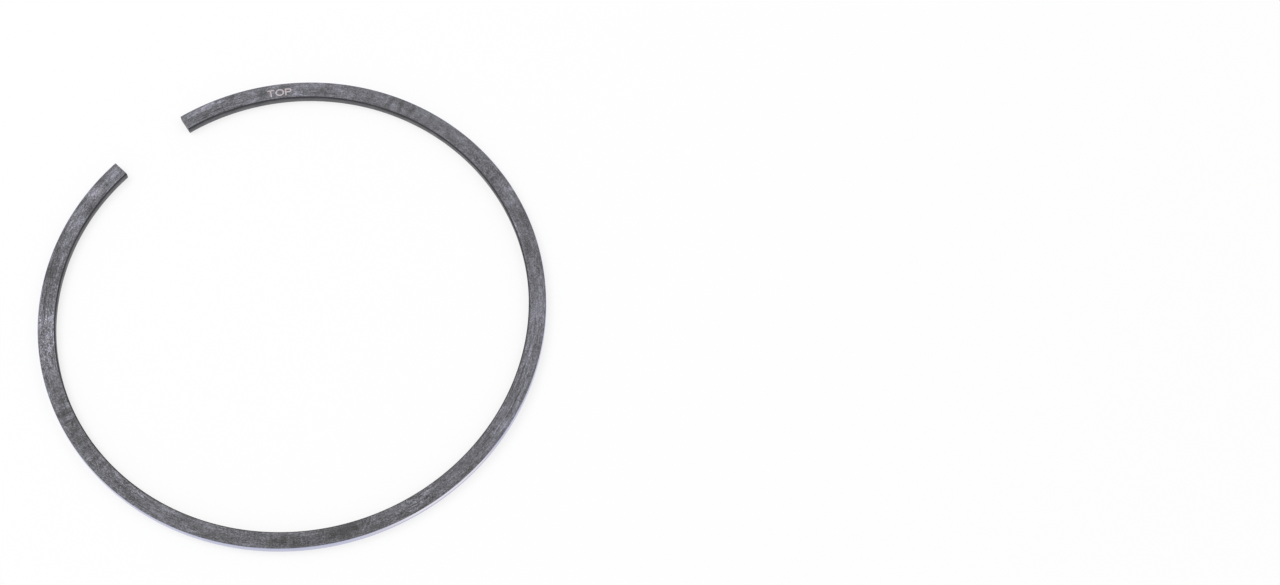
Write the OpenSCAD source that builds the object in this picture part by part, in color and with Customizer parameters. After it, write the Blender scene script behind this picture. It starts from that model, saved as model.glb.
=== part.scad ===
// Top compression ring for a piston, in its free, sprung-open shape.
// The ring lies flat with its top side up. Its gap faces +Y, and its back is opposite, at -Y.

/* [Ring] */
// Bore of the cylinder that the ring closes into
bore_d = 77; // [60:0.5:110]
// Radial wall, from the inner face to the running face
wall = 2.8; // [2:0.1:4]
// Axial height, between the two flat sides
height = 1.5; // [1:0.05:3]

/* [Gap] */
// Opening between the ends of the free ring, at mid-wall
free_gap = 12.9; // [6:0.1:20]
// Opening left between the ends when the ring is closed into its bore
fitted_gap = 0.3; // [0.1:0.05:1]

/* [Edges] */
// Leg of the 45 degree bevel along the inner top edge
inner_bevel = 0.2; // [0.15:0.05:0.6]
// Leg of the 45 degree breaks along the other three edges
edge_break = 0.1; // [0.06:0.02:0.24]

/* [Hidden] */

// Facets of a drawn circle
$fn = 180;

// Colour of the dark, phosphated iron
iron_colour = [0.32, 0.32, 0.31];

// Degrees in a radian
radian = 180 / PI;

// Mid-wall radius of the closed ring
closed_r = (bore_d - wall) / 2;

// Angle from the back to either end of the closed ring
end_place = 180 - fitted_gap / 2 / closed_r * radian;

// A ring that presses evenly on its bore has a free curvature that is least at the back and grows
// to the bore's own at the ends: (1 - spring * (1 + cos(place))) / closed_r, where place is the
// angle from the back on the closed ring. Each half of the ring is a chain of tangent arcs that
// follows this, and heading is the direction that the mid-wall line has turned to, from +X.

// Heading at a place on the closed ring
function heading_at(place, spring) = place - spring * (place + radian * sin(place));

// Place on the closed ring where the free ring has a heading, closed in on by repeated steps
function place_at(heading, spring, steps = 10) =
    steps == 0
    ? heading
    : let (place = place_at(heading, spring, steps - 1))
        heading + spring * (place + radian * sin(place));

// Rise and run of the headings at which arcs meet, in each quarter turn. These are sides of right
// triangles in whole numbers, which give the arcs' centres round coordinates.
slopes = [[0, 1], [7, 24], [3, 4], [4, 3], [24, 7]];
arcs = 2 * len(slopes);

// Heading at the start of arc i, which is also the end of arc i - 1
function heading(i, spring) =
    let (slope = slopes[i % len(slopes)])
    let (quarter = floor(i / len(slopes)))
    i == arcs
    ? heading_at(end_place, spring)
    : 90 * quarter + round(10000 * atan2(slope[0], slope[1])) / 10000;

// Mid-wall radius of arc i, which is as long as its stretch of the closed ring, in whole microns
function arc_r(i, spring) =
    let (from = heading(i, spring))
    let (to = heading(i + 1, spring))
    round(1000 * closed_r * (place_at(to, spring) - place_at(from, spring)) / (to - from)) / 1000;

// Outward normal of the mid-wall line at a heading
function outward(heading) = [sin(heading), -cos(heading)];

// Step from the centre of arc i - 1 to the centre of arc i, along the normal where they meet
function centre_step(i, spring) =
    (arc_r(i - 1, spring) - arc_r(i, spring)) * outward(heading(i, spring));

// Centre of arc i, from the centre of arc 0
function centre(i, spring) =
    i == 0
    ? [0, 0]
    : centre(i - 1, spring) + centre_step(i, spring);

// End of the +X half, at an offset outwards from mid-wall
function end_point(spring, offset) =
    centre(arcs - 1, spring) + (arc_r(arcs - 1, spring) + offset) * outward(heading(arcs, spring));

// Spring that opens the gap to free_gap, closed in on by a few corrections of a first guess
function spring_for(guess, corrections = 6) =
    corrections == 0
    ? guess
    : spring_for(
        guess + (free_gap - 2 * end_point(guess, 0)[0]) / (3 * PI * closed_r),
        corrections - 1
    );
spring = spring_for((free_gap - fitted_gap) / (3 * PI * closed_r));

// Middle of the outline along Y, between the back and the outer corners of the ends
middle_y = (end_point(spring, wall / 2)[1] - arc_r(0, spring) - wall / 2) / 2;

// Section of the ring: X runs out from mid-wall, and Y up from the bottom side
module section() {
    polygon([
        [-wall / 2 + edge_break, 0],
        [wall / 2 - edge_break, 0],
        [wall / 2, edge_break],
        [wall / 2, height - edge_break],
        [wall / 2 - edge_break, height],
        [-wall / 2 + inner_bevel, height],
        [-wall / 2, height - inner_bevel],
        [-wall / 2, edge_break]
    ]);
}

// Arc i and the arcs after it, drawn from the centre of arc i
module arcs_from(i) {
    from = heading(i, spring);
    to = heading(i + 1, spring);
    rotate_extrude(start = from - 90, angle = to - from)
        translate([arc_r(i, spring), 0])
            section();
    if (i + 1 < arcs)
        translate(centre_step(i + 1, spring))
            arcs_from(i + 1);
}

module piston_ring() {
    color(iron_colour)
        translate([0, -middle_y]) {
            arcs_from(0);
            mirror([1, 0])
                arcs_from(0);
        }
}

piston_ring();
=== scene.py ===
"""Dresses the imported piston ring: a finely swept ring with dark sides, a chromed face and its mark."""
import math

import bpy
import numpy as np
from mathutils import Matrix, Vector
from mathutils.geometry import delaunay_2d_cdt


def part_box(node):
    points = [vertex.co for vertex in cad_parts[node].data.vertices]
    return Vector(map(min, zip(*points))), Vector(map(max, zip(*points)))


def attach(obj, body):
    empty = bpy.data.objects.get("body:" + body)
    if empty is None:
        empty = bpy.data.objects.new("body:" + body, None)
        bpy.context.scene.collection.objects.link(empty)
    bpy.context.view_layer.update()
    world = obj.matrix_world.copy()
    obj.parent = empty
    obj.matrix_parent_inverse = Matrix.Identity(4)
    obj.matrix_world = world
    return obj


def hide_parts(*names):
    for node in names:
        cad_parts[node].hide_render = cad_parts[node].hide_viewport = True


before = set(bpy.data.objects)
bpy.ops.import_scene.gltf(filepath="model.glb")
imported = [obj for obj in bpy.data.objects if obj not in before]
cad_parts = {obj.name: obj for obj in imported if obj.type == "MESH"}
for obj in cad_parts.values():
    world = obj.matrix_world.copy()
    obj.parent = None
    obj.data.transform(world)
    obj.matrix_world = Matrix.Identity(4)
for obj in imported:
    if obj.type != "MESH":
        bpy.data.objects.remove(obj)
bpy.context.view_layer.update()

# Sizes, in metres unless a comment says otherwise

MM = 0.001

# The ring's own sizes, as its solid has them
BORE_D = 77 * MM
WALL = 2.8 * MM
FREE_GAP = 12.9 * MM
FITTED_GAP = 0.3 * MM
INNER_BEVEL = 0.2 * MM
EDGE_BREAK = 0.1 * MM
LOW_CORNER, HIGH_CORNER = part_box("piston_ring")
HEIGHT = HIGH_CORNER[2] - LOW_CORNER[2]

# Mid-wall radius of the closed ring, and the angle from its back to either end
CLOSED_R = (BORE_D - WALL) / 2
END_PLACE = math.pi - FITTED_GAP / 2 / CLOSED_R

# Times that the guess of how far the ring is sprung open is corrected
SPRING_CORRECTIONS = 8

# Small rounds between the faces of the section, and round the cut ends
EDGE_ROUND = 0.04 * MM
END_ROUND = 0.03 * MM
ROUND_STEPS = 2

# A turn of the section, in radians, that needs no round
STRAIGHT = 0.001

# Least upward part of a unit normal that counts as straight up
UPRIGHT = 0.999999

# Strips of the bake's map, which each hold an equal part of the ring's length
STRIPS = 5
STRIP_STEPS = 280
STRIP_MARGIN = 0.8 * MM

# The mark on the top side. Its letters run clockwise from the +X end, with their feet inwards: their
# centres are ways from that end, and their foot line is an offset from mid-wall.
MARK_HEIGHT = 1.27 * MM
MARK_STROKE = 0.24 * MM
MARK_DEPTH = 0.02 * MM
MARK_FOOT = -0.80 * MM
T_WIDTH = 1.10 * MM
T_CENTRE = 15.04 * MM
O_WIDTH = 1.44 * MM
O_CENTRE = 16.52 * MM
P_WIDTH = 1.10 * MM
P_CENTRE = 17.93 * MM
P_BOWL = 0.38 * MM
LETTER_STEPS = 28

# The stretch of the top side that is meshed round the mark
MARK_FROM = 13.6 * MM
MARK_TO = 19.6 * MM

# How that stretch is meshed: in triangles, with spots nearer than this, in millimetres, made one
TRIANGLES = 0
SAME_SPOT = 1e-5

# The photograph's camera: where it looks from and to, and how near it sees
CAMERA_AZIMUTH = math.radians(-39.764)
CAMERA_ELEVATION = math.radians(66.928)
CAMERA_DISTANCE = 522.7 * MM
CAMERA_TARGET = Vector((44.55 * MM, -32.83 * MM, HEIGHT))
CAMERA_NEAR = 10 * MM

# The lens and the sensor, in millimetres as Blender has them
CAMERA_LENS = 91.575
SENSOR_WIDTH = 36.0

# The floor, which lies just under the ring, and the light from all round
FLOOR_WIDTH = 8.0
FLOOR_GAP = 0.01 * MM
FLOOR_WHITE = 0.3
WORLD_LIGHT = 0.55

# Lamps: where each hangs, its width and its power in watts. They all face the ring.
LAMPS = [
    ("key", (-0.25, 0.55, 1.0), 0.9, 6.0),
    ("front", (-0.7, -0.85, 0.47), 1.2, 1.6),
    ("fill", (0.7, -0.5, 0.9), 0.8, 2.0),
]

# A mix node's sockets for colours, by number because it has others of the same names
MIX_FACTOR = 0
MIX_A = 6
MIX_B = 7
MIX_RESULT = 2

# Ways along the chromed face over which its painted highlight comes and goes, in millimetres from
# the back
PAINTED_HIGHLIGHT_COMES = (-20.0, -5.0)
PAINTED_HIGHLIGHT_GOES = (13.0, 4.0)

# Patches of the top side's finish, set against the photograph. Each has its place round the
# ring in degrees from the back, its offset from mid-wall in millimetres, the half-lengths over which
# it fades, along in degrees and across in millimetres, and its strength.

# Tone: paler above nought, as if rubbed, and darker below it
RUBBED = [
    (-179.8, -0.2, 0.6, 0.4, -0.70),
    (-177, 0.1, 2.4, 1.2, 0.60),
    (-174, 0.9, 0.9, 0.4, -0.35),
    (-174, -0.3, 0.6, 0.3, -0.50),
    (-172.3, 0.1, 1.0, 0.4, 0.35),
    (-169.5, 0.6, 2.2, 0.8, 0.45),
    (-166, -0.8, 3, 0.3, -0.45),
    (-162, -0.6, 1.2, 0.4, 0.50),
    (-160, 0.3, 2, 0.9, 0.35),
    (-156, 0.8, 2.5, 0.6, -0.25),
    (-155, 0.2, 1.2, 0.4, 0.50),
    (-151, -0.5, 2, 0.3, 0.50),
    (-149, -0.95, 2.5, 0.25, -0.60),
    (-149, 0.7, 3.5, 0.6, -0.30),
    (-146.5, -0.5, 0.5, 0.25, 0.60),
    (-146, 0.3, 2.5, 1.6, -0.35),
    (-142, -1.12, 5, 0.10, 0.80),
    (-139.5, 0.4, 4, 0.5, -0.65),
    (-138, 1.15, 5, 0.25, 0.45),
    (-135, -0.7, 2.5, 0.6, 0.60),
    (-131.5, -0.8, 2, 0.4, 0.70),
    (-128, 0.0, 7, 1.8, 0.12),
    (-117, 0.9, 6, 0.5, 0.20),
    (-111, 0.3, 6, 0.7, -0.25),
    (-95, 0.7, 0.8, 0.3, 0.50),
    (-89, 0.0, 6, 1.8, -0.12),
    (-86, -0.9, 10, 0.3, 0.30),
    (-82, 0.4, 3, 0.7, -0.45),
    (-64, -0.8, 3, 0.4, -0.30),
    (-54, 0.6, 8, 0.8, -0.25),
    (-41, 0.1, 8, 0.7, -0.30),
    (-27, 0.1, 7, 1.5, -0.58),
    (-18, 0.7, 2.5, 0.6, -0.35),
    (-12, 0.2, 9, 1.4, -0.18),
    (20.5, 0.8, 3, 0.5, 0.30),
    (24.5, -0.9, 2, 0.3, 0.50),
    (38, 0.3, 9, 0.9, 0.12),
    (52, 0.0, 10, 1.8, 0.25),
    (69, -0.3, 1.6, 0.5, -0.45),
    (72, -0.3, 1.6, 0.5, -0.45),
    (76, 0.8, 4, 0.6, -0.12),
    (76.5, -1.05, 2.5, 0.12, 1.10),
    (82, -0.8, 3, 0.5, -0.20),
    (84, 0.5, 4, 0.7, 0.35),
    (88.5, 0.3, 2.5, 1.2, 0.35),
    (108, 0.0, 8, 1.8, 0.16),
    (119, 0.2, 2.5, 0.8, 0.35),
    (127, 0.0, 8, 1.4, 0.15),
    (139, -0.4, 5, 0.8, 0.20),
    (147, 0.8, 7, 0.6, 0.25),
    (150, -0.6, 1.5, 0.35, 0.50),
    (152, -1.0, 6, 0.2, 0.40),
    (158.6, 0.3, 1.2, 0.8, -0.45),
    (161, -0.4, 1.0, 0.4, 0.20),
    (161.3, 0.8, 1.0, 0.4, 0.30),
    (165, 0.2, 1.0, 0.5, 0.35),
    (166.8, 0.9, 1.5, 0.4, -0.45),
    (169.5, 0.4, 2, 0.5, 0.40),
    (172.5, -0.6, 0.6, 0.25, 0.80),
    (174, 0.9, 5, 0.5, 0.60),
    (174, -1.05, 5, 0.12, 0.50),
    (174.5, -0.5, 4, 0.7, -0.35),
]
# Bars across the wall
BARRED = [
    (-108, -0.3, 7, 1.2, 0.8),
    (-94, -0.1, 9, 1.4, 0.55),
    (-41, 0.3, 9, 1.2, 0.6),
    (-24, 0.2, 6, 1.4, 0.35),
    (90, 0.0, 10, 1.4, 0.35),
    (124, 0.0, 10, 1.4, 0.60),
]
# Streaks along the ring
DRAWN = [
    (-139, 0.6, 6, 1.0, 0.8),
    (-70, 0.0, 12, 1.6, 0.4),
    (-7, 0.0, 9, 1.6, 0.7),
    (30, 0.0, 15, 1.8, 1.0),
    (172, -0.4, 8, 1.2, 1.0),
]
# Slanting scratches
SCRATCHED = [
    (-171.5, 0.0, 2.5, 1.4, 0.5),
    (-128, 0.0, 8, 1.6, 0.6),
    (-31, 0.7, 2, 0.7, 1.2),
    (-21, 0.3, 3, 1.4, 0.9),
    (-7, 0.2, 2.5, 0.8, 0.6),
]
# A brown tinge
WARM = [
    (-171, 0.1, 2, 1.0, 1.0),
    (-127, -0.3, 8, 1.2, 0.9),
]
# Contrast of the pattern, more above nought and less below it
CONTRAST = [
    (-168, 0.0, 9, 1.8, 0.2),
    (-148, 0.0, 6, 1.8, 0.4),
    (-128, 0.0, 9, 1.8, 0.7),
    (-85, 0.0, 6, 1.8, 0.4),
    (-8, 0.0, 7, 1.8, 0.3),
    (94, 0.0, 5, 1.8, 0.3),
    (112, 0.0, 8, 1.8, -0.5),
    (126, 0.0, 6, 1.8, -0.3),
]
PATCHES = {
    "rubbed": RUBBED,
    "barred": BARRED,
    "drawn": DRAWN,
    "scratched": SCRATCHED,
    "warm": WARM,
    "contrast": CONTRAST,
}


# The ring's line


def free_line(spring, places):
    """Points and headings of the free ring's mid-wall line, at places round the closed ring."""
    def heading(place):
        return place - spring * (place + np.sin(place))

    steps = CLOSED_R * np.diff(places)
    between = heading((places[1:] + places[:-1]) / 2)
    x = np.concatenate([[0], np.cumsum(np.cos(between) * steps)])
    y = np.concatenate([[0], np.cumsum(np.sin(between) * steps)])
    return x, y, heading(places)


def spring_for(gap):
    """How far the free ring is sprung open, as a share of the closed ring's curvature."""
    places = np.linspace(0, END_PLACE, STRIPS * STRIP_STEPS)
    spring = 0.0
    # A closed ring opens by about 3 pi times its radius for each unit of spring
    for _ in range(SPRING_CORRECTIONS):
        opening = 2 * free_line(spring, places)[0][-1]
        spring += (gap - opening) / (3 * math.pi * CLOSED_R)
    return spring


def end_places():
    """Places of the last few stations, which round the cut end, and the section's inset at each."""
    turns = [math.pi / 2 * step / ROUND_STEPS for step in range(ROUND_STEPS + 1)]
    places = [END_PLACE - END_ROUND * (1 - math.sin(turn)) / CLOSED_R for turn in turns]
    insets = [END_ROUND * (1 - math.cos(turn)) for turn in turns]
    return places, insets


class Line:
    """The stations that the section is swept through, from the -X end round the back to the +X end."""

    def __init__(self):
        rounds, insets = end_places()
        inner = np.linspace(-rounds[0], rounds[0], STRIPS * STRIP_STEPS + 1 - 2 * ROUND_STEPS)
        last = np.array(rounds[1:])
        self.places = np.concatenate([-last[::-1], inner, last])
        self.insets = np.concatenate([insets[:0:-1], np.zeros(len(inner)), insets[1:]])
        self.x, self.y, self.headings = free_line(spring_for(FREE_GAP), self.places)
        self.x -= (self.x[0] + self.x[-1]) / 2
        ends = self.y[-1] - math.cos(self.headings[-1]) * WALL / 2
        back = self.y[len(self.y) // 2] - WALL / 2
        self.y -= (ends + back) / 2

    def stations(self):
        """Each station's place, point and heading, and the inset of its section."""
        columns = (self.places, self.x, self.y, self.headings, self.insets)
        return zip(*(column.tolist() for column in columns))

    def between(self, place):
        """Place, point and heading anywhere on the line."""
        columns = (self.x, self.y, self.headings)
        return (place, *(float(np.interp(place, self.places, column)) for column in columns))


# The section


class Section:
    """The ring's section: points, normals and girths in order round it.

    Each point also has the zone of the stretch after it. A girth is the way round from the first point.
    """

    def __init__(self):
        outer, inner = WALL / 2, -WALL / 2
        # Corners in order: offset from mid-wall, height, and the zone and steps of the stretch after
        corners = [
            (inner + EDGE_BREAK, 0, "side", 4),
            (outer - EDGE_BREAK, 0, "running", 1),
            (outer, EDGE_BREAK, "running", 3),
            (outer, HEIGHT - EDGE_BREAK, "running", 1),
            (outer - EDGE_BREAK / 2, HEIGHT - EDGE_BREAK / 2, "side", 1),
            (outer - EDGE_BREAK, HEIGHT, "side", 16),
            (inner + INNER_BEVEL, HEIGHT, "bevel", 2),
            (inner, HEIGHT - INNER_BEVEL, "inner", 3),
            (inner, EDGE_BREAK, "inner", 1),
        ]
        self.points, self.normals, self.zones = [], [], []
        for k, corner in enumerate(corners):
            zone, steps = corner[2:]
            before, after = corners[k - 1], corners[(k + 1) % len(corners)]
            come = direction(before, corner)
            leave = direction(corner, after)
            far = direction(after, corners[(k + 2) % len(corners)])
            self.add_round(corner, come, leave, before[2], zone)
            self.add_stretch(after, leave, far, zone, steps)
        self.count = len(self.points)
        self.girths = [0.0]
        for k in range(self.count):
            step = math.dist(self.points[k], self.points[(k + 1) % self.count])
            self.girths.append(self.girths[-1] + step)

    def add_round(self, corner, come, leave, zone_before, zone):
        """Rounds a corner between two directions, with the middle of the round as the zones' border."""
        turn = turn_between(come, leave)
        reach = EDGE_ROUND * math.tan(turn / 2)
        first = (come[1], -come[0])
        centre = [corner[n] - come[n] * reach - first[n] * EDGE_ROUND for n in (0, 1)]
        steps = ROUND_STEPS if turn > STRAIGHT else 0
        for step in range(steps + 1):
            angle = math.atan2(first[1], first[0]) + turn * step / ROUND_STEPS
            normal = (math.cos(angle), math.sin(angle))
            self.points.append((centre[0] + EDGE_ROUND * normal[0], centre[1] + EDGE_ROUND * normal[1]))
            self.normals.append(normal)
            self.zones.append(zone_before if step < steps / 2 else zone)

    def add_stretch(self, corner, come, leave, zone, steps):
        """Divides the straight from the last point to where the round of the next corner starts."""
        start = self.points[-1]
        reach = EDGE_ROUND * math.tan(turn_between(come, leave) / 2)
        stop = (corner[0] - come[0] * reach, corner[1] - come[1] * reach)
        for step in range(1, steps):
            share = step / steps
            self.points.append((
                start[0] + (stop[0] - start[0]) * share,
                start[1] + (stop[1] - start[1]) * share,
            ))
            self.normals.append((come[1], -come[0]))
            self.zones.append(zone)

    def top_side(self):
        """First and last point of the flat top side, from its outer edge to its inner one."""
        flat = [k for k in range(self.count) if self.normals[k][1] > UPRIGHT]
        return flat[0], flat[-1]


def direction(start, stop):
    """Unit step from one section point to another."""
    length = math.dist(start[:2], stop[:2])
    return (stop[0] - start[0]) / length, (stop[1] - start[1]) / length


def turn_between(come, leave):
    """Angle that the outline turns by, to the left."""
    cross = come[0] * leave[1] - come[1] * leave[0]
    along = come[0] * leave[0] + come[1] * leave[1]
    return math.atan2(cross, along)


# The mark's letters, as outlines on a foot line, with each hole after the outline that it is in


def arc(centre, radii, start, stop, steps):
    """Points of an arc of an ellipse, its ends included."""
    angles = [start + (stop - start) * n / steps for n in range(steps + 1)]
    return [(centre[0] + radii[0] * math.cos(a), centre[1] + radii[1] * math.sin(a)) for a in angles]


def letter_t():
    """A bar on a stem."""
    half, stem, under = T_WIDTH / 2, MARK_STROKE / 2, MARK_HEIGHT - MARK_STROKE
    return [[
        (-half, MARK_HEIGHT),
        (-half, under),
        (-stem, under),
        (-stem, 0),
        (stem, 0),
        (stem, under),
        (half, under),
        (half, MARK_HEIGHT),
    ]]


def letter_o():
    """An ellipse in another."""
    centre = (0, MARK_HEIGHT / 2)
    outer = (O_WIDTH / 2, MARK_HEIGHT / 2)
    inner = (outer[0] - MARK_STROKE, outer[1] - MARK_STROKE)
    return [arc(centre, radii, 0, 2 * math.pi, LETTER_STEPS)[:-1] for radii in (outer, inner)]


def letter_p():
    """A stem with a bowl, and the bowl's eye."""
    left, right = -P_WIDTH / 2, P_WIDTH / 2
    centre = (right - P_BOWL, MARK_HEIGHT - P_BOWL)
    stem = left + MARK_STROKE
    hole = P_BOWL - MARK_STROKE
    bowl = arc(centre, (P_BOWL, P_BOWL), -math.pi / 2, math.pi / 2, LETTER_STEPS // 2)
    eye = arc(centre, (hole, hole), -math.pi / 2, math.pi / 2, LETTER_STEPS // 2)
    return [
        [(left, MARK_HEIGHT), (left, 0), (stem, 0), (stem, bowl[0][1])] + bowl,
        [(stem, eye[0][1])] + eye + [(stem, eye[-1][1])],
    ]


def mark_outlines():
    """All the outlines, by the way from the +X end and the offset from mid-wall, in millimetres."""
    placed = []
    for letter, centre in ((letter_t(), T_CENTRE), (letter_o(), O_CENTRE), (letter_p(), P_CENTRE)):
        for outline in letter:
            placed.append([((centre + x) / MM, (MARK_FOOT + y) / MM) for x, y in outline])
    return placed


def inside(point, outlines):
    """Whether a point is in the outlines and not in their holes."""
    crossings = 0
    for outline in outlines:
        for a, b in zip(outline, outline[1:] + outline[:1]):
            if (a[1] > point[1]) != (b[1] > point[1]):
                crossings += point[0] < a[0] + (point[1] - a[1]) / (b[1] - a[1]) * (b[0] - a[0])
    return crossings % 2 == 1


# The ring's mesh


class RingMesh:
    """Collects the ring's points and faces, with what the finish and the bake's map need at each."""

    ZONES = ["side", "running", "inner", "bevel", "end", "mark"]

    def __init__(self):
        self.line = Line()
        self.section = Section()
        self.points, self.normals, self.ring_places = [], [], []
        self.faces, self.face_zones, self.face_maps, self.face_flat = [], [], [], []
        self.map_width = 2 * END_PLACE * CLOSED_R / STRIPS + 2 * STRIP_MARGIN
        self.sweep()
        self.cap(0, 0)
        self.cap(len(self.line.places) - 1, 1)

    def add_point(self, spot, offset, height, normal):
        """Adds a point of the section at a spot of the line. The normal is outwards, along and up."""
        place, x, y, heading = spot
        sine, cosine = math.sin(heading), math.cos(heading)
        out, along, up = normal
        self.points.append((x + offset * sine, y - offset * cosine, height))
        self.normals.append((out * sine + along * cosine, along * sine - out * cosine, up))
        self.ring_places.append((place, offset, height))
        return len(self.points) - 1

    def add_face(self, points, zone, map_places, flat=False):
        """Adds a face of a zone, with its corners' places on the bake's map."""
        self.faces.append(points)
        self.face_zones.append(zone)
        self.face_maps.append(map_places)
        self.face_flat.append(flat)

    def map_place(self, strip, place, girth):
        """Place on the bake's map: the strips lie one above the other, with the girth upwards."""
        start = -END_PLACE + 2 * END_PLACE * strip / STRIPS
        across = STRIP_MARGIN + (place - start) * CLOSED_R
        up = STRIP_MARGIN + strip * (self.section.girths[-1] + STRIP_MARGIN) + girth
        return across / self.map_width, up / self.map_width

    def sweep(self):
        """Sweeps the section through the stations, and leaves the mark's stretch to add_mark."""
        line, section = self.line, self.section
        count, stations = section.count, len(line.places)
        for *spot, inset in line.stations():
            lean = 1 - inset / END_ROUND
            along = math.copysign(math.sqrt(1 - lean * lean), spot[0])
            for (offset, height), (out, up) in zip(section.points, section.normals):
                normal = (out * lean, along, up * lean)
                self.add_point(spot, offset - out * inset, height - up * inset, normal)
        top_first, top_last = section.top_side()
        way = (END_PLACE - line.places) * CLOSED_R
        marked = [i for i in range(stations) if MARK_FROM < way[i] < MARK_TO]
        for i in range(stations - 1):
            strip = min(i // STRIP_STEPS, STRIPS - 1)
            for k in range(count):
                if marked[0] <= i < marked[-1] and top_first <= k < top_last:
                    continue
                after = (k + 1) % count
                corners = [(i, k, k), (i + 1, k, k), (i + 1, after, k + 1), (i, after, k + 1)]
                points = [station * count + point for station, point, _ in corners]
                map_places = [
                    self.map_place(strip, line.places[station], section.girths[girth])
                    for station, _, girth in corners
                ]
                self.add_face(points, section.zones[k], map_places)
        self.add_mark(marked, range(top_first, top_last + 1))

    def cap(self, station, slot):
        """Closes one end with a flat face, which has a slot of its own above the map's strips."""
        count = self.section.count
        points = [station * count + k for k in range(count)]
        middle = STRIP_MARGIN + (WALL + STRIP_MARGIN) * (slot + 0.5)
        base = STRIP_MARGIN + STRIPS * (self.section.girths[-1] + STRIP_MARGIN)
        map_places = [
            ((middle + offset) / self.map_width, (base + height) / self.map_width)
            for offset, height in self.section.points
        ]
        # The second end faces the other way
        if slot:
            points.reverse()
            map_places.reverse()
        self.add_face(points, "end", map_places)

    def add_mark(self, stations, top_points):
        """Meshes the mark's stretch of the top side along the outlines of the letters."""
        line, section = self.line, self.section
        grid = {}
        spots = []
        for i in stations:
            for k in top_points:
                grid[len(spots)] = i * section.count + k
                way = (END_PLACE - line.places[i]) * CLOSED_R
                spots.append((way / MM, section.points[k][0] / MM))
        outlines = mark_outlines()
        edges = []
        for outline in outlines:
            first = len(spots)
            spots += outline
            edges += [(first + n, first + (n + 1) % len(outline)) for n in range(len(outline))]
        flat, _, faces, came, _, _ = delaunay_2d_cdt(
            [Vector(spot) for spot in spots], edges, [], TRIANGLES, SAME_SPOT, True
        )
        shared = [[grid[n] for n in ids if n in grid] for ids in came]
        self.fill_mark(flat, faces, shared, outlines)

    def fill_mark(self, flat, faces, shared, outlines):
        """Adds the faces of the mark's stretch, with the letters' floor sunk and walls down to it."""
        edge = self.section.top_side()[0]
        girth_at_mid = self.section.girths[edge] + self.section.points[edge][0]
        floor = HEIGHT - MARK_DEPTH
        made = {}

        def place_of(n):
            return END_PLACE - flat[n][0] * MM / CLOSED_R

        def point_at(n, height):
            """The point at a spot, on the top side or on the mark's floor."""
            if height == HEIGHT and shared[n]:
                return shared[n][0]
            if (n, height) not in made:
                spot = self.line.between(place_of(n))
                made[n, height] = self.add_point(spot, flat[n][1] * MM, height, (0, 0, 1))
            return made[n, height]

        def on_map(n):
            return self.map_place(STRIPS - 1, place_of(n), girth_at_mid - flat[n][1] * MM)

        owners = {}
        for face in faces:
            middle = sum((flat[n] for n in face), Vector((0, 0))) / len(face)
            sunk = inside(middle, outlines)
            height, zone = (floor, "mark") if sunk else (HEIGHT, "side")
            self.add_face([point_at(n, height) for n in face], zone, [on_map(n) for n in face])
            for a, b in zip(face, face[1:] + face[:1]):
                owners[a, b] = sunk
        for (a, b), sunk in owners.items():
            if sunk and not owners.get((b, a), True):
                wall = [point_at(b, floor), point_at(a, floor), point_at(a, HEIGHT), point_at(b, HEIGHT)]
                self.add_face(wall, "mark", [on_map(n) for n in (b, a, a, b)], flat=True)

    def patch(self, patches):
        """Strength of a list of patches at each point of the top side, and none on the other sides."""
        places = np.array(self.ring_places)
        degrees, offsets = np.degrees(places[:, 0]), places[:, 1] / MM
        total = np.zeros(len(places))
        for place, offset, length, width, strength in patches:
            reach = ((degrees - place) / length) ** 2 + ((offsets - offset) / width) ** 2
            total += strength * np.exp(-reach)
        return total * (places[:, 2] > HEIGHT - INNER_BEVEL)

    def build(self, name, materials):
        """Makes the ring's object, with a material for each zone."""
        mesh = bpy.data.meshes.new(name)
        mesh.from_pydata(self.points, [], self.faces)
        for zone in self.ZONES:
            mesh.materials.append(materials[zone])
        mesh.polygons.foreach_set("material_index", [self.ZONES.index(zone) for zone in self.face_zones])
        mesh.polygons.foreach_set("use_smooth", [not flat for flat in self.face_flat])
        own = mesh.attributes.new("ring_place", "FLOAT_VECTOR", "POINT")
        along, across, up = np.array(self.ring_places).T
        spots = np.stack([along * CLOSED_R, across, up], 1) / MM
        own.data.foreach_set("vector", spots.astype(np.float32).ravel())
        for label, patches in PATCHES.items():
            layer = mesh.attributes.new(label, "FLOAT", "POINT")
            layer.data.foreach_set("value", self.patch(patches).astype(np.float32))
        bake = mesh.uv_layers.new(name="OFBake")
        bake.data.foreach_set("uv", np.concatenate(self.face_maps).ravel())
        loop_normals = []
        for face, flat in zip(self.faces, self.face_flat):
            loop_normals += [(0, 0, 0) if flat else self.normals[n] for n in face]
        mesh.normals_split_custom_set(loop_normals)
        piece = bpy.data.objects.new(name, mesh)
        bpy.context.scene.collection.objects.link(piece)
        return piece


# Materials


def from_screen(red, green, blue):
    """A colour as it shows on a screen, from 0 to 255, as the linear colour of a shader."""
    def linear(value):
        # The curve of the sRGB standard
        value /= 255
        return value / 12.92 if value <= 0.04045 else ((value + 0.055) / 1.055) ** 2.4

    return linear(red), linear(green), linear(blue), 1.0


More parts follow.
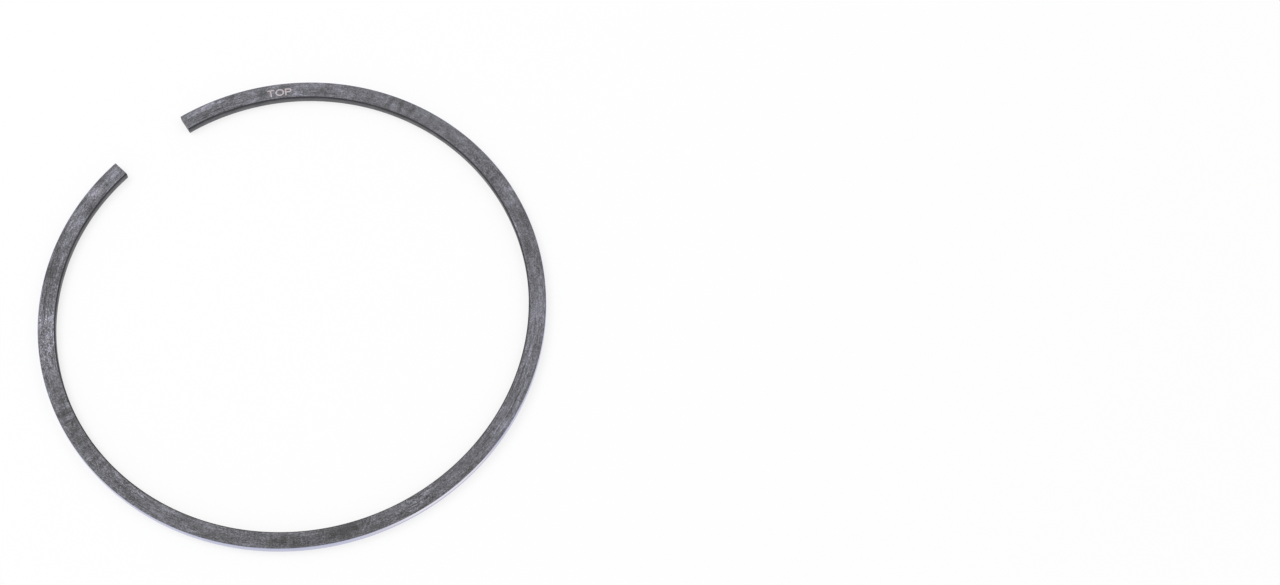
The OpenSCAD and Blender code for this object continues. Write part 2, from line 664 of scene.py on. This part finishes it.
class Finish:
    """A material and short calls for its nodes.

    Sizes are in millimetres along the ring, across its wall and up it, and colours are as on a screen.
    """

    def __init__(self, name):
        self.material = bpy.data.materials.new(name)
        self.material.use_nodes = True
        self.tree = self.material.node_tree
        self.shader = self.tree.nodes["Principled BSDF"]

    def node(self, kind, **settings):
        """A new node with its settings."""
        made = self.tree.nodes.new(kind)
        for name, value in settings.items():
            setattr(made, name, value)
        return made

    def put(self, socket, value):
        """Links an input to another node's output, or sets its value."""
        if isinstance(value, bpy.types.NodeSocket):
            self.tree.links.new(value, socket)
        else:
            socket.default_value = value

    def set(self, **values):
        """Sets the shader's own inputs, with _ for the spaces in their names."""
        for name, value in values.items():
            self.put(self.shader.inputs[name.replace("_", " ")], value)

    def attribute(self, name, output="Fac"):
        """What the mesh has at each of its points under a name."""
        return self.node("ShaderNodeAttribute", attribute_name=name).outputs[output]

    def way(self, axis):
        """The way along the ring from its back (X), across from mid-wall (Y) or up (Z)."""
        parts = self.node("ShaderNodeSeparateXYZ")
        self.put(parts.inputs["Vector"], self.attribute("ring_place", "Vector"))
        return parts.outputs[axis]

    def place(self, along, across, slant=0.0, rise=None):
        """The place on the ring, turned by a slant in degrees, with a pattern's size as its unit."""
        turned = self.node("ShaderNodeVectorRotate", rotation_type="Z_AXIS")
        self.put(turned.inputs["Vector"], self.attribute("ring_place", "Vector"))
        self.put(turned.inputs["Angle"], math.radians(slant))
        scaled = self.node("ShaderNodeVectorMath", operation="DIVIDE")
        self.put(scaled.inputs[0], turned.outputs["Vector"])
        self.put(scaled.inputs[1], (along, across, rise or across))
        return scaled.outputs["Vector"]

    def noise(self, along, across, detail=2.0, roughness=0.5, warp=0.0, slant=0.0, rise=None):
        """Noise of a size along, across and up the ring. Without a rise it is as large up as across."""
        made = self.node("ShaderNodeTexNoise", noise_dimensions="3D")
        self.put(made.inputs["Vector"], self.place(along, across, slant, rise))
        self.put(made.inputs["Scale"], 1.0)
        self.put(made.inputs["Detail"], detail)
        self.put(made.inputs["Roughness"], roughness)
        self.put(made.inputs["Distortion"], warp)
        return made.outputs["Fac"]

    def ripple(self, length, wander):
        """Soft bars across the wall, a length apart, which wander by up to a phase."""
        phase = self.maths("DIVIDE", self.way("X"), length / (2 * math.pi))
        phase = self.plus(phase, (self.noise(along=1.3 * length, across=1.6), wander))
        return self.maths("MULTIPLY_ADD", self.maths("SINE", phase), 0.5, 0.5)

    def maths(self, operation, a, b=0.0, c=0.0):
        """The result of an operation on up to three values."""
        made = self.node("ShaderNodeMath", operation=operation)
        for socket, value in zip(made.inputs, (a, b, c)):
            self.put(socket, value)
        return made.outputs["Value"]

    def plus(self, start, *terms):
        """A start with terms added to it, which are each a value and its weight."""
        total = start
        for value, weight in terms:
            total = self.maths("MULTIPLY_ADD", value, weight, total)
        return total

    def swing(self, value):
        """A noise from nought to one, as a swing about nought."""
        return self.maths("SUBTRACT", value, 0.5)

    def levels(self, value, low, high, to_low=0.0, to_high=1.0):
        """Stretches a value between two levels, and holds it there past them."""
        made = self.node("ShaderNodeMapRange", interpolation_type="SMOOTHSTEP")
        names = ("Value", "From Min", "From Max", "To Min", "To Max")
        for name, setting in zip(names, (value, low, high, to_low, to_high)):
            self.put(made.inputs[name], setting)
        return made.outputs["Result"]

    def ramp(self, value, stops):
        """A colour by a value, between stops that each have a position and a colour."""
        made = self.node("ShaderNodeValToRGB")
        marks = made.color_ramp.elements
        while len(marks) < len(stops):
            marks.new(1.0)
        for mark, (position, colour) in zip(marks, stops):
            mark.position = position
            mark.color = from_screen(*colour)
        self.put(made.inputs["Fac"], value)
        return made.outputs["Color"]

    def mix(self, factor, a, b):
        """A colour between two."""
        made = self.node("ShaderNodeMix", data_type="RGBA")
        self.put(made.inputs[MIX_FACTOR], factor)
        self.put(made.inputs[MIX_A], a)
        self.put(made.inputs[MIX_B], b)
        return made.outputs[MIX_RESULT]

    def bump(self, height, depth):
        """Raises the surface by up to a depth."""
        made = self.node("ShaderNodeBump")
        self.put(made.inputs["Height"], height)
        self.put(made.inputs["Distance"], depth * MM)
        self.set(Normal=made.outputs["Normal"])


def phosphated_side():
    """Dark phosphated side, ground flat, with paler burnished patches, bars, streaks and scratches."""
    finish = Finish("phosphated_side")
    cloud = finish.swing(finish.noise(along=4.0, across=1.6, detail=3.0, roughness=0.55))
    burnish = finish.noise(along=1.6, across=0.6, detail=6.0, roughness=0.72, warp=0.5)
    burnish = finish.levels(burnish, 0.45, 0.70)
    spots = finish.noise(along=0.9, across=0.45, detail=5.0, roughness=0.68, warp=0.3)
    spots = finish.levels(spots, 0.50, 0.72)
    grain = finish.swing(finish.noise(along=0.34, across=0.15, detail=3.0, roughness=0.7))
    pits = finish.swing(finish.noise(along=0.16, across=0.13, detail=1.0))
    specks = finish.noise(along=0.36, across=0.24, detail=1.0)
    specks = finish.levels(specks, 0.66, 0.76)
    hairs = finish.noise(along=0.10, across=2.6, detail=2.0, roughness=0.6, slant=-62)
    hairs = finish.levels(hairs, 0.64, 0.80)
    streaks = finish.swing(finish.noise(along=5.0, across=0.17, detail=4.0, roughness=0.65))
    drawn = finish.maths("ADD", finish.attribute("drawn"), 0.3)
    drawn = finish.maths("MULTIPLY", streaks, drawn)
    pattern = finish.plus(
        0.0,
        (cloud, 0.34),
        (burnish, 0.18),
        (spots, -0.2),
        (grain, 0.95),
        (pits, 0.6),
        (specks, 0.15),
        (hairs, 0.06),
        (drawn, 1.2),
    )
    bars = finish.noise(along=0.7, across=5.0, detail=2.0, roughness=0.55, warp=0.2)
    bars = finish.plus(bars, (finish.ripple(length=1.9, wander=5.0), 0.35))
    bars = finish.levels(bars, 0.50, 0.95)
    combed = finish.swing(finish.noise(along=0.24, across=2.4, detail=3.0, roughness=0.6))
    bars = finish.plus(0.0, (bars, -0.22), (combed, 0.9))
    scratches = finish.noise(along=0.14, across=1.5, detail=3.0, roughness=0.6, slant=-28)
    scratches = finish.levels(scratches, 0.50, 0.70)
    scratches = finish.maths("MULTIPLY", scratches, finish.attribute("scratched"))
    wear = finish.attribute("rubbed")
    contrast = finish.maths("ADD", finish.attribute("contrast"), 1.0)
    tone = finish.plus(
        0.35,
        (wear, 0.26),
        (pattern, contrast),
        (burnish, finish.maths("MULTIPLY", wear, 0.30)),
        (bars, finish.attribute("barred")),
        (scratches, 0.45),
    )
    colour = finish.ramp(tone, [
        (0.02, (70, 70, 71)),
        (0.26, (94, 94, 96)),
        (0.38, (111, 111, 116)),
        (0.50, (128, 128, 136)),
        (0.74, (156, 155, 169)),
        (0.98, (188, 187, 204)),
    ])
    warm = finish.noise(along=1.1, across=0.5, detail=4.0, roughness=0.65)
    warm = finish.levels(warm, 0.5, 0.68)
    warm = finish.maths("MULTIPLY", warm, finish.attribute("warm"))
    brown = from_screen(152, 142, 144)
    finish.set(
        Base_Color=finish.mix(warm, colour, brown),
        Metallic=finish.levels(tone, 0.3, 0.9, 0.35, 0.85),
        Roughness=finish.levels(tone, 0.2, 0.9, 0.62, 0.42),
        Specular_IOR_Level=0.2,
    )
    finish.bump(finish.maths("ADD", grain, streaks), depth=0.004)
    return finish.material


def hard_chrome():
    """Hard chrome lapped along the ring, bluish above and paler below as a painted reflection, with a
    painted highlight at the back.
    """
    finish = Finish("hard_chrome")
    lapping = finish.noise(along=9.0, across=0.09, detail=3.0, roughness=0.6)
    cloud = finish.noise(along=3.0, across=0.6, detail=3.0)
    # Painted reflection of the bright floor just below: the face is made paler towards its bottom
    low = finish.levels(finish.way("Z"), 0.2, 1.2, 0.22, 0.0)
    # Painted highlight on the face's upper half near the back, with painted shade on its lower part
    comes = finish.levels(finish.way("X"), *PAINTED_HIGHLIGHT_COMES)
    goes = finish.levels(finish.way("X"), *PAINTED_HIGHLIGHT_GOES)
    painted_highlight_and_shade = finish.levels(finish.way("Z"), 0.2, 0.9, -0.25, 0.6)
    tone = finish.plus(
        low,
        (cloud, 0.4),
        (lapping, 0.4),
        (painted_highlight_and_shade, finish.maths("MULTIPLY", comes, goes)),
    )
    colour = finish.ramp(tone, [
        (0.22, (176, 181, 209)),
        (0.45, (190, 193, 219)),
        (0.80, (212, 209, 227)),
        (1.00, (234, 232, 243)),
    ])
    finish.set(
        Base_Color=colour,
        Metallic=1.0,
        Roughness=finish.levels(cloud, 0.3, 0.7, 0.16, 0.3),
    )
    finish.bump(lapping, depth=0.002)
    return finish.material


def turned_iron(name, dark, pale, painted_shade=0.0, rise=None):
    """Phosphated iron with fine lines along it, or up it by a rise, and darker above by an amount of
    painted shade.
    """
    finish = Finish(name)
    lines = finish.noise(along=14.0, across=0.07, detail=3.0, roughness=0.65, rise=rise)
    cloud = finish.noise(along=2.2, across=0.9, detail=4.0, roughness=0.6)
    grain = finish.noise(along=0.2, across=0.2, detail=2.0)
    tone = finish.plus(0.0, (cloud, 0.4), (lines, 0.4), (grain, 0.2))
    # Painted shade: the colour is made darker towards the top of the face
    if painted_shade:
        tone = finish.maths("SUBTRACT", tone, finish.levels(finish.way("Z"), 0.3, 1.3, 0.0, painted_shade))
    finish.set(
        Base_Color=finish.ramp(tone, [(0.2, dark), (0.7, pale)]),
        Metallic=0.4,
        Roughness=finish.levels(cloud, 0.3, 0.7, 0.6, 0.45),
        Specular_IOR_Level=0.2,
    )
    finish.bump(finish.maths("ADD", lines, grain), depth=0.004)
    return finish.material


def etched_mark():
    """Floor of the etched mark, pale and a little warm."""
    finish = Finish("etched_mark")
    grain = finish.noise(along=0.12, across=0.12, detail=3.0, roughness=0.6)
    finish.set(
        Base_Color=finish.ramp(grain, [(0.3, (170, 160, 163)), (0.7, (212, 201, 205))]),
        Metallic=0.3,
        Roughness=finish.levels(grain, 0.3, 0.7, 0.6, 0.5),
        Specular_IOR_Level=0.2,
    )
    finish.bump(grain, depth=0.004)
    return finish.material


# Floor, lamps and camera


def add_floor():
    """A plain wide floor just under the ring."""
    half = FLOOR_WIDTH / 2
    mesh = bpy.data.meshes.new("floor")
    corners = [(x * half, y * half, -FLOOR_GAP) for x, y in ((-1, -1), (1, -1), (1, 1), (-1, 1))]
    mesh.from_pydata(corners, [], [(0, 1, 2, 3)])
    floor = bpy.data.objects.new("floor", mesh)
    bpy.context.scene.collection.objects.link(floor)
    mesh.materials.append(floor_white())


def floor_white():
    """A white floor: what its shadows leave is filled up to white where it is seen or mirrored."""
    finish = Finish("floor_white")
    tree, links = finish.tree, finish.tree.links
    tree.nodes.remove(finish.shader)
    diffuse = finish.node("ShaderNodeBsdfDiffuse")
    diffuse.inputs["Color"].default_value = (FLOOR_WHITE, FLOOR_WHITE, FLOOR_WHITE, 1)
    path = finish.node("ShaderNodeLightPath")
    seen = finish.maths("MAXIMUM", path.outputs["Is Camera Ray"], path.outputs["Is Glossy Ray"])
    seen = finish.maths("MAXIMUM", seen, path.outputs["Is Transmission Ray"])
    glow = finish.node("ShaderNodeEmission")
    finish.put(glow.inputs["Strength"], finish.maths("MULTIPLY", seen, 1 - FLOOR_WHITE))
    both = finish.node("ShaderNodeAddShader")
    links.new(diffuse.outputs[0], both.inputs[0])
    links.new(glow.outputs[0], both.inputs[1])
    links.new(both.outputs[0], tree.nodes["Material Output"].inputs["Surface"])
    return finish.material


def add_world():
    """Even pale light from all round."""
    world = bpy.data.worlds.new("studio")
    world.use_nodes = True
    bpy.context.scene.world = world
    light = world.node_tree.nodes["Background"]
    light.inputs["Color"].default_value = (1, 1, 1, 1)
    light.inputs["Strength"].default_value = WORLD_LIGHT


def add_lamps():
    """Soft lamps that face the ring."""
    for name, place, width, power in LAMPS:
        lamp = bpy.data.lights.new(name, "AREA")
        lamp.size = width
        lamp.energy = power
        made = bpy.data.objects.new(name, lamp)
        made.location = place
        made.rotation_euler = (-Vector(place)).to_track_quat("-Z", "Y").to_euler()
        bpy.context.scene.collection.objects.link(made)


def add_camera():
    """A camera at the photograph's viewing angle, with its framing."""
    away = Vector((
        math.sin(CAMERA_AZIMUTH) * math.cos(CAMERA_ELEVATION),
        -math.cos(CAMERA_AZIMUTH) * math.cos(CAMERA_ELEVATION),
        math.sin(CAMERA_ELEVATION),
    ))
    lens = bpy.data.cameras.new("camera")
    lens.sensor_fit = "HORIZONTAL"
    lens.sensor_width = SENSOR_WIDTH
    lens.lens = CAMERA_LENS
    lens.clip_start = CAMERA_NEAR
    camera = bpy.data.objects.new("camera", lens)
    camera.location = CAMERA_TARGET + away * CAMERA_DISTANCE
    camera.rotation_euler = (-away).to_track_quat("-Z", "Y").to_euler()
    bpy.context.scene.collection.objects.link(camera)
    bpy.context.scene.camera = camera


# The scene

bpy.context.scene.view_settings.view_transform = "Standard"
add_camera()
add_world()
add_lamps()
add_floor()

ring = RingMesh().build("ring", {
    "side": phosphated_side(),
    "running": hard_chrome(),
    # The inner face is given painted shade towards its top
    "inner": turned_iron("turned_inner_face", dark=(86, 86, 89), pale=(148, 148, 154), painted_shade=0.25),
    # The bevel's colours are darker than the inner face's as painted shade
    "bevel": turned_iron("turned_bevel_painted_shade", dark=(54, 54, 56), pale=(82, 82, 86)),
    "end": turned_iron("cut_end", dark=(82, 82, 85), pale=(138, 138, 145), rise=2.5),
    "mark": etched_mark(),
})
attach(ring, "root")
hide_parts("piston_ring")
